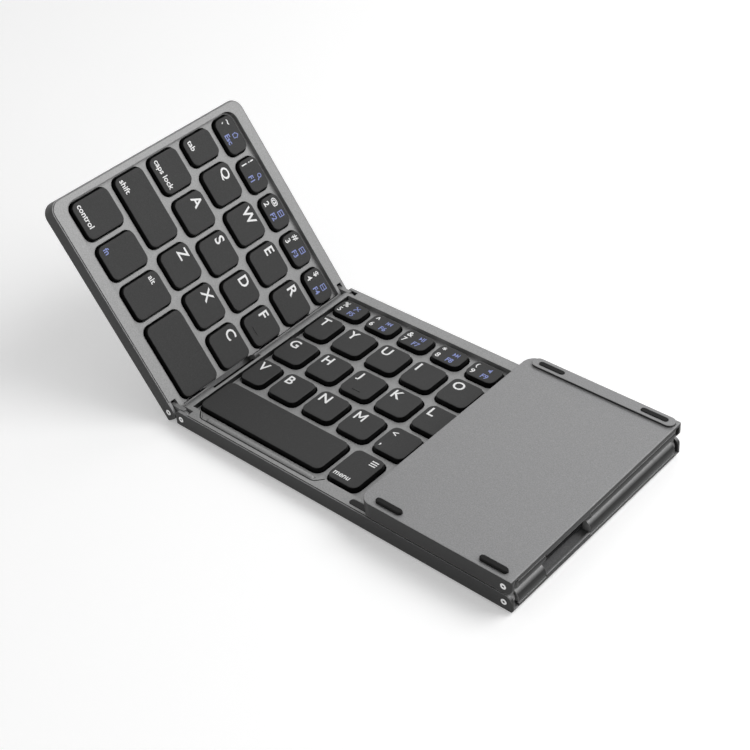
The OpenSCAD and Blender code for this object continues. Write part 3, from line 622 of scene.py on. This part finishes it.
def gathered(name, parts, smooth=35):
    """One object from (mesh, matrix) pairs, with its materials kept and its normals outward."""
    whole = bmesh.new()
    finishes = []
    for mesh, matrix in parts:
        piece = bmesh.new()
        piece.from_mesh(mesh)
        piece.transform(matrix)
        for face in piece.faces:
            material = mesh.materials[face.material_index]
            if material not in finishes:
                finishes.append(material)
            face.material_index = finishes.index(material)
        bmesh.ops.recalc_face_normals(piece, faces=piece.faces)
        moved = bpy.data.meshes.new("moved")
        piece.to_mesh(moved)
        whole.from_mesh(moved)
        piece.free()
        bpy.data.meshes.remove(moved)
    result = bpy.data.meshes.new(name)
    whole.to_mesh(result)
    whole.free()
    for material in finishes:
        result.materials.append(material)
    result.polygons.foreach_set("use_smooth", [True] * len(result.polygons))
    result.set_sharp_from_angle(angle=math.radians(smooth))
    piece = bpy.data.objects.new(name, result)
    bpy.context.scene.collection.objects.link(piece)
    return piece


body_of = {node: body for body, nodes in frame["record"]["behaviour"]["bodies"].items()
           for node in nodes}
GRID_STEP = 0.85 * MM
LEAST_LINES = 6


def capped(low, high, panel, corner, roll, dish, top, side, face_up=True, draft=0.0):
    """A cap that fills a box in panel coordinates, its top towards +z or, turned over, -z."""
    size = high - low
    mesh = grown(cap_tree, width=size.x, depth=size.y, height=size.z, corner=corner, roll=roll,
                 draft=draft, dish=dish, columns=max(LEAST_LINES, round(size.x / GRID_STEP)),
                 rows=max(LEAST_LINES, round(size.y / GRID_STEP)), top_finish=top,
                 side_finish=side)
    middle = (low + high) / 2
    place = Matrix.Translation((middle.x, middle.y, high.z if face_up else low.z))
    turn = Matrix() if face_up else Matrix.Rotation(math.pi, 4, "X")
    return mesh, PANEL[panel] @ place @ turn


# %% [markdown]
# ## The keys
# A key's matt top is smaller than its foot: its glossy black side slopes out, and its corners
# are round. The two home keys also carry a short raised bar that a finger can find.

# %% Build the keys
KEY_CORNER, KEY_ROLL, KEY_DRAFT, KEY_DISH = 3.2 * MM, 0.25 * MM, 0.55 * MM, 0.1 * MM
BAR_WIDTH, BAR_FRONT, BAR_DEPTH, BAR_SUNK = 4 * MM, 3.2 * MM, 0.5 * MM, 0.2 * MM
BAR_CORNER, BAR_ROLL = 0.24 * MM, 0.1 * MM
for node, (panel, boxes) in keys.items():
    parts = [capped(low, Vector((high.x, high.y, top_z)), panel, KEY_CORNER, KEY_ROLL, KEY_DISH,
                    key_top, key_side, draft=KEY_DRAFT) for low, high in boxes]
    if node in ("key_f", "key_j"):
        low, high = boxes[0]
        middle = (low.x + high.x) / 2
        bar_low = Vector((middle - BAR_WIDTH / 2, low.y + BAR_FRONT, top_z - BAR_SUNK))
        bar_high = Vector((middle + BAR_WIDTH / 2, low.y + BAR_FRONT + BAR_DEPTH, high.z))
        parts.append(capped(bar_low, bar_high, panel, BAR_CORNER, BAR_ROLL, 0.0, key_top,
                            key_top))
    piece = gathered("cap." + node, parts)
    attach(piece, body_of[node])
    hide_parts(node)

# %% [markdown]
# ## Legends
# The letters are printed flat on the tops, in white, with the second functions in a blue. They
# are text turned into thin closed meshes, a hair proud of the dished top, and they ride with
# their key. Only plain letters, digits and everyday key words are drawn.

# %% Text and small icons as meshes
CAP_RATIO = 0.682
text_cache = {}


def lettering(text, height, material, weight=0.026):
    """Thin mesh of a text whose capitals are height high; left edge and baseline at zero.
    A single tall or hanging sign is fitted between the baseline and that height."""
    if (text, height, material) not in text_cache:
        curve = bpy.data.curves.new("legend", "FONT")
        curve.body = text
        curve.size = height / CAP_RATIO
        curve.offset = weight * height
        curve.extrude = 0.01 * MM
        curve.resolution_u = 3
        scratch = bpy.data.objects.new("legend", curve)
        bpy.context.scene.collection.objects.link(scratch)
        graph = bpy.context.evaluated_depsgraph_get()
        mesh = bpy.data.meshes.new_from_object(scratch.evaluated_get(graph), depsgraph=graph)
        bpy.data.objects.remove(scratch)
        start = min(v.co.x for v in mesh.vertices)
        foot = min(v.co.y for v in mesh.vertices)
        tall = max(v.co.y for v in mesh.vertices) - foot
        if len(text) > 1 or text in ",;_-" or tall < height:
            foot, tall = 0.0, height
        mesh.transform(Matrix.Scale(height / tall, 4, (0, 1, 0))
                       @ Matrix.Translation((-start, -foot, 0)))
        mesh.materials.clear()
        mesh.materials.append(material)
        text_cache[(text, height, material)] = mesh
    return text_cache[(text, height, material)]


def arc(x, y, radius, start, end, width, count=14):
    """Strip along an arc, as a closed outline."""
    turn = [math.radians(start + (end - start) * i / count) for i in range(count + 1)]
    outer = [(x + (radius + width / 2) * math.cos(a), y + (radius + width / 2) * math.sin(a))
             for a in turn]
    inner = [(x + (radius - width / 2) * math.cos(a), y + (radius - width / 2) * math.sin(a))
             for a in reversed(turn)]
    return outer + inner


def bar(x0, y0, x1, y1, width):
    """Strip from one point to another."""
    along = Vector((x1 - x0, y1 - y0)).normalized() * width / 2
    side = (-along.y, along.x)
    return [(x0 - side[0], y0 - side[1]), (x1 - side[0], y1 - side[1]),
            (x1 + side[0], y1 + side[1]), (x0 + side[0], y0 + side[1])]


# Each icon is a list of outlines in a square of side 1
ICONS = {
    "home": [bar(0.05, 0.5, 0.5, 0.95, 0.12), bar(0.5, 0.95, 0.95, 0.5, 0.12),
             bar(0.2, 0.08, 0.8, 0.08, 0.12), bar(0.2, 0.08, 0.2, 0.5, 0.12),
             bar(0.8, 0.08, 0.8, 0.5, 0.12)],
    "find": [arc(0.4, 0.6, 0.28, 0, 180, 0.12), arc(0.4, 0.6, 0.28, 180, 360, 0.12),
             bar(0.6, 0.4, 0.95, 0.05, 0.14)],
    "panel": [bar(0.05, 0.1, 0.95, 0.1, 0.12), bar(0.05, 0.9, 0.95, 0.9, 0.12),
              bar(0.1, 0.1, 0.1, 0.9, 0.12), bar(0.9, 0.1, 0.9, 0.9, 0.12),
              bar(0.1, 0.5, 0.9, 0.5, 0.1)],
    "cut": [bar(0.1, 0.2, 0.9, 0.8, 0.12), bar(0.1, 0.8, 0.9, 0.2, 0.12),
            arc(0.14, 0.14, 0.1, 0, 350, 0.08), arc(0.14, 0.86, 0.1, 0, 350, 0.08)],
    "back": [[(0.5, 0.1), (0.5, 0.9), (0.1, 0.5)], [(0.95, 0.1), (0.95, 0.9), (0.55, 0.5)],
             bar(0.05, 0.1, 0.05, 0.9, 0.1)],
    "play": [[(0.05, 0.1), (0.45, 0.5), (0.05, 0.9)], bar(0.6, 0.1, 0.6, 0.9, 0.14),
             bar(0.88, 0.1, 0.88, 0.9, 0.14)],
    "next": [[(0.05, 0.1), (0.45, 0.5), (0.05, 0.9)], [(0.5, 0.1), (0.9, 0.5), (0.5, 0.9)],
             bar(0.95, 0.1, 0.95, 0.9, 0.1)],
    "quiet": [[(0.05, 0.35), (0.25, 0.35), (0.55, 0.08), (0.55, 0.92), (0.25, 0.65),
               (0.05, 0.65)]],
    "loud": [[(0.05, 0.35), (0.25, 0.35), (0.5, 0.08), (0.5, 0.92), (0.25, 0.65), (0.05, 0.65)],
             arc(0.5, 0.5, 0.24, -50, 50, 0.1), arc(0.5, 0.5, 0.42, -50, 50, 0.1)],
    "em": [bar(0.09, 0, 0.09, 1, 0.17), bar(0.91, 0, 0.91, 1, 0.17),
           bar(0.09, 0.93, 0.5, 0.3, 0.16), bar(0.91, 0.93, 0.5, 0.3, 0.16)],
    "menu": [bar(0.08, y, 0.92, y, 0.14) for y in (0.2, 0.5, 0.8)],
}


def icon(name, size, material):
    """Thin closed plates in the shape of an icon."""
    shape = bmesh.new()
    for outline in ICONS[name]:
        low = [shape.verts.new((x * size, y * size, -0.01 * MM)) for x, y in outline]
        high = [shape.verts.new((x * size, y * size, 0.01 * MM)) for x, y in outline]
        shape.faces.new(high)
        shape.faces.new(list(reversed(low)))
        for i in range(len(low)):
            j = (i + 1) % len(low)
            shape.faces.new((low[i], low[j], high[j], high[i]))
    mesh = bpy.data.meshes.new(name)
    shape.to_mesh(mesh)
    shape.free()
    mesh.materials.append(material)
    return mesh


print("icons:", len(ICONS))

# %% [markdown]
# What each key says is a small table. A letter stands in the rear left corner of its key, a word
# at the front left, and a number key has its digit under its sign with the blue second function
# beside them. Keys that the folded panel hides follow the usual layout.

# %% The table of legends
# A mark is its text, mm from the key's left side, the side that its place is measured from, mm
# from that side, its height in mm, and its ink
ACROSS = 2.3


def letter(text):
    return [(text, ACROSS, "rear", 2.1, 4.4, white_print)]


def word(text, material=None):
    return [(text, 1.9, "front", 2.7, 2.3, material or white_print)]


def pair(upper, lower):
    return [(upper, ACROSS, "rear", 2.7, 2.8, white_print),
            (lower, ACROSS, "front", 3.2, 3.0, white_print)]


def number(sign, digit, second, sketch):
    made = [(sign, 2.0, "front", 5.5, 2.7, white_print),
            (digit, 2.0, "front", 1.9, 2.6, white_print),
            (second, 7.3, "front", 1.9, 2.3, blue_print)]
    if sketch:
        made.append(("icon:" + sketch, 7.8, "front", 5.4, 2.8, blue_print))
    return made


LEGENDS = {"key_" + c: [letter(c.upper())] for c in "qwertasdfzxcyuioghjklvbnm"}
LEGENDS["key_m"] = [[("icon:em", ACROSS, "rear", 2.1, 4.4, white_print)]]
LEGENDS.update({
    "tab_key": [word("tab")], "caps_key": [word("caps lock")], "shift_key": [word("shift")],
    "ctrl_key": [word("control")], "fn_key": [word("fn", blue_print)],
    "alt_key": [[("alt", 1.9, "rear", 3.0, 2.25, white_print)]],
    "left_space_key": [[]], "right_space_key": [[]],
    "menu_key": [word("menu") + [("icon:menu", 9.2, "rear", 2.0, 3.6, white_print)]],
    "left_number_keys": [number("~", "`", "Esc", "home"), number("!", "1", "F1", "find"),
                         number("@", "2", "F2", "panel"), number("#", "3", "F3", "panel"),
                         number("$", "4", "F4", "panel")],
    "centre_number_keys": [number("%", "5", "F5", "cut"), number("^", "6", "F6", "back"),
                           number("&", "7", "F7", "play"), number("*", "8", "F8", "next"),
                           number("(", "9", "F9", "quiet"), number(")", "0", "F10", "loud"),
                           number("_", "-", "F11", None), number("+", "=", "F12", None),
                           [("←", 2.6, "front", 3.0, 3.4, white_print)]],
    "right_side_keys": [letter("P"), pair("{", "["), pair("}", "]"), pair("|", "\\"),
                        pair(":", ";"), pair('"', "'"), word("enter"),
                        pair("<", ","), pair(">", "."), pair("?", "/"), letter("↑"),
                        word("shift"), word("alt"), word("ctrl"), letter("←"),
                        letter("↓"), letter("→")],
})
print("legends for", sum(len(v) for v in LEGENDS.values()), "keys")

# %% [markdown]
# A mark is drawn flat, moved to its place, and then every point is dropped by the dish under it, so
# that the print follows the hollow of the key instead of floating over it.

# %% Print the legends on the keys


def dish_at(x, y, low, high):
    """How far the top is dished under a point, by the cap tree's own rule."""
    half = (high - low) / 2 - Vector((KEY_ROLL + KEY_DRAFT, KEY_ROLL + KEY_DRAFT, 0))
    middle = (low + high) / 2
    u, v = (x - middle.x) / half.x, (y - middle.y) / half.y
    return KEY_DISH * max(0.0, 1 - u * u) * max(0.0, 1 - v * v)


LIFT = 0.03 * MM
for node, marks in LEGENDS.items():
    panel, boxes = keys[node]
    parts = []
    for (low, high), mark in zip(boxes, marks):
        for text, dx, side, dy, height, material in mark:
            if text.startswith("icon:"):
                mesh = icon(text[5:], height * MM, material)
            else:
                mesh = lettering(text, height * MM, material).copy()
            y = low.y + dy * MM if side == "front" else high.y - (dy + height) * MM
            mesh.transform(Matrix.Translation((low.x + dx * MM, y, 0)))
            for vertex in mesh.vertices:
                x, y, z = vertex.co
                vertex.co.z = z + top_z + LIFT - dish_at(x, y, low, high)
            parts.append((mesh, PANEL[panel]))
    if parts:
        piece = gathered("legend." + node, parts)
        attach(piece, body_of[node])
print("legends printed")

# %% [markdown]
# ## Rubber pads, window and touch surface
# These are all flat things with a rounded outline and a soft edge, so the cap tree makes them
# too. A pad stands upside down on its cover, with its top away from the keys.

# %% Pads, window, touch surface and click bar
# A pad's end is nearly a half circle, as a share of half its width
PAD_END, PAD_ROLL = 0.98, 0.3 * MM
for panel in PANEL:
    node = panel + "_foot_pads"
    parts = []
    for low, high in solids_of(node, panel):
        parts.append(capped(low, high, panel, (high.y - low.y) / 2 * PAD_END, PAD_ROLL, 0.0,
                            rubber, rubber, face_up=False))
    piece = gathered("pads." + panel, parts)
    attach(piece, body_of[node])
    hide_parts(node)
for node, panel, corner, roll, paint, slot in (
        ("indicator_window", "centre", 1.3, 0.1, window, "window"),
        ("touchpad", "right", 2.0, 0.2, touch_film, "touch_surface"),
        ("click_bar", "right", 2.0, 0.3, touch_film, "touch_surface")):
    low, high = solids_of(node, panel)[0]
    piece = gathered("smooth." + node, [capped(low, high, panel, corner * MM, roll * MM, 0.0,
                                               paint, paint)])
    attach(piece, body_of[node])
    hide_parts(node)
print("pads on", len(PANEL), "panels")

# %% [markdown]
# ## The shaded edge of the thumb recess
# In front of the space key the rim steps down, and the floor just behind its edge lies in shadow.
# A narrow dark ribbon along that edge is painted shadow: it draws the soft dark line without a
# change to the frame. It is swept along a path whose ends bend as those of the recess do.

# %% Shade along the recess
RECESS_FORWARD, RECESS_FROM, RECESS_TO = 4.9 * MM, 4.1 * MM, 4.9 * MM
# One end's bend in mm, from its outer end inwards, and the ribbon's section: across and up
BEND = [(0.0, 3.2), (0.6, 2.6), (1.7, 1.3), (2.8, 0.3), (4.0, 0.0)]
SECTION = [(0.08, 0.012), (-0.42, 0.012), (-0.42, -0.05), (0.08, -0.05)]
space_low, space_high = keys["right_space_key"][1][0]
recess_front = space_low.y - RECESS_FORWARD
first_x, last_x = space_low.x + RECESS_FROM, space_high.x + RECESS_TO
path = [(first_x + x * MM, recess_front + y * MM) for x, y in BEND]
path += [(last_x - x * MM, recess_front + y * MM) for x, y in reversed(BEND)]
rim_z = (PANEL["centre"].inverted() @ Vector((0, 0, rim_top))).z
shade = bmesh.new()
rings = []
for i, (x, y) in enumerate(path):
    before, after = path[max(i - 1, 0)], path[min(i + 1, len(path) - 1)]
    run = Vector((after[0] - before[0], after[1] - before[1])).normalized()
    rings.append([shade.verts.new((x - run.y * side * MM, y + run.x * side * MM, rim_z + up * MM))
                  for side, up in SECTION])
for one, two in zip(rings, rings[1:]):
    for i in range(4):
        shade.faces.new((one[i], one[(i + 1) % 4], two[(i + 1) % 4], two[i]))
shade.faces.new(rings[0])
shade.faces.new(list(reversed(rings[-1])))
mesh = bpy.data.meshes.new("recess shade")
shade.to_mesh(mesh)
shade.free()
# The ribbon's near-black colour is painted shadow for the dark line behind the rim's edge.
edge_shade = finish("shaded edge", seen_as(30), 0.6, grain=2300, contrast=0.5, edge=0.0001,
                    wear=0.0, bump=0.03, gloss=0.2)
mesh.materials.append(edge_shade)
piece = gathered("recess.shade", [(mesh, PANEL["centre"])])
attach(piece, body_of["centre_key_frame"])
print("recess shade from", round(path[0][0] / MM, 1), "to", round(path[-1][0] / MM, 1), "mm")

# %% [markdown]
# ## Hollow rivets
# Each hinge link turns on four short hollow rivets, whose bright rings show at the front and
# the rear. A ring is a circle swept with a rounded profile. Its hollow is a solid shaft painted near
# black, as painted shade. One tree makes a rivet, turns a second one over for the other end, and
# puts the pair on both pins of the link.

# %% The rivet tree
rivet_tree, given, output = new_group(
    "hollow rivets", "GeometryNodeTree",
    [("Ring", FLOAT, 0.0012), ("Hole", FLOAT, 0.00045), ("Thickness", FLOAT, 0.00025),
     ("Shaft", FLOAT, 0.0008), ("Length", FLOAT, 0.0033), ("End", FLOAT, 0.049),
     ("Apart", FLOAT, 0.0071), ("Ring finish", "NodeSocketMaterial", None),
     ("Bore finish", "NodeSocketMaterial", None)],
    [("Geometry", "NodeSocketGeometry")])
tree = rivet_tree
middle_r = math_of(tree, "MULTIPLY", math_of(tree, "ADD", given["Ring"], given["Hole"]), 0.5)
circle = put(tree, "GeometryNodeCurvePrimitiveCircle", None,
             {"Resolution": 40, "Radius": middle_r})
section = put(tree, "GeometryNodeCurvePrimitiveQuadrilateral", None,
              {"Width": math_of(tree, "SUBTRACT", given["Ring"], given["Hole"]),
               "Height": given["Thickness"]})
section = put(tree, "GeometryNodeFilletCurve", None,
              {"Curve": section, "Radius": math_of(tree, "MULTIPLY", given["Thickness"], 0.4)})
ring = put(tree, "GeometryNodeCurveToMesh", None, {"Curve": circle, "Profile Curve": section})
ring_z = math_of(tree, "ADD", given["End"], math_of(tree, "MULTIPLY", given["Thickness"], 0.5))
ring = put(tree, "GeometryNodeTransform", None,
           {"Geometry": ring, "Translation": put(tree, "ShaderNodeCombineXYZ", None, {2: ring_z})})
ring = put(tree, "GeometryNodeSetMaterial", None, {"Geometry": ring, "Material": given["Ring finish"]})
shaft = put(tree, "GeometryNodeMeshCylinder", None,
            {"Vertices": 32, "Radius": given["Shaft"], "Depth": given["Length"]})
shaft_z = math_of(tree, "SUBTRACT", given["End"], math_of(tree, "MULTIPLY", given["Length"], 0.5))
shaft = put(tree, "GeometryNodeTransform", None,
            {"Geometry": shaft, "Translation": put(tree, "ShaderNodeCombineXYZ", None, {2: shaft_z})})
# The shaft's near-black colour is painted shade for the rivet's hollow.
shaft = put(tree, "GeometryNodeSetMaterial", None,
            {"Geometry": shaft, "Material": given["Bore finish"]})
rivet = tree.nodes.new("GeometryNodeJoinGeometry")
for piece in (ring, shaft):
    tree.links.new(piece, rivet.inputs[0])
turned = put(tree, "GeometryNodeTransform", None,
             {"Geometry": rivet.outputs[0], "Rotation": (math.pi, 0, 0)})
pair_of = tree.nodes.new("GeometryNodeJoinGeometry")
for piece in (rivet.outputs[0], turned):
    tree.links.new(piece, pair_of.inputs[0])
line = put(tree, "GeometryNodeMeshLine", None,
           {"Count": 2, "Offset": put(tree, "ShaderNodeCombineXYZ", None, {0: given["Apart"]})})
placed = put(tree, "GeometryNodeInstanceOnPoints", None,
             {"Points": line, "Instance": pair_of.outputs[0]})
tree.links.new(put(tree, "GeometryNodeRealizeInstances", None, {"Geometry": placed}), output["Geometry"])
print("tree:", rivet_tree.name)

# %% [markdown]
# The two links stand at different angles. So the tree sets its rivets out along x and z, and one
# matrix per link turns them: x goes along the link, from pin to pin, and z along the pins.

# %% Rivets of both links
link_length = (pin["left_panel"] - pin["left_link"]).length
head_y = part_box("left_hinge_pins")[1].y
HEAD_T = 0.25 * MM
for side in ("left", "right"):
    node = side + "_hinge_pins"
    start, end = pin[side + "_link"], pin[side + "_panel"]
    mesh = grown(rivet_tree, apart=link_length, end=head_y - HEAD_T, thickness=HEAD_T,
                 ring_finish=rivet_steel, bore_finish=rivet_bore_shade)
    along_link = (end - start).normalized()
    axis = Vector((0, 1, 0))
    turn = Matrix((along_link, axis.cross(along_link), axis)).transposed().to_4x4()
    piece = gathered("rivets." + side, [(mesh, Matrix.Translation(start) @ turn)])
    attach(piece, body_of[node])
    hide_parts(node)
print("rivets on both links,", round(link_length / MM, 2), "mm apart")
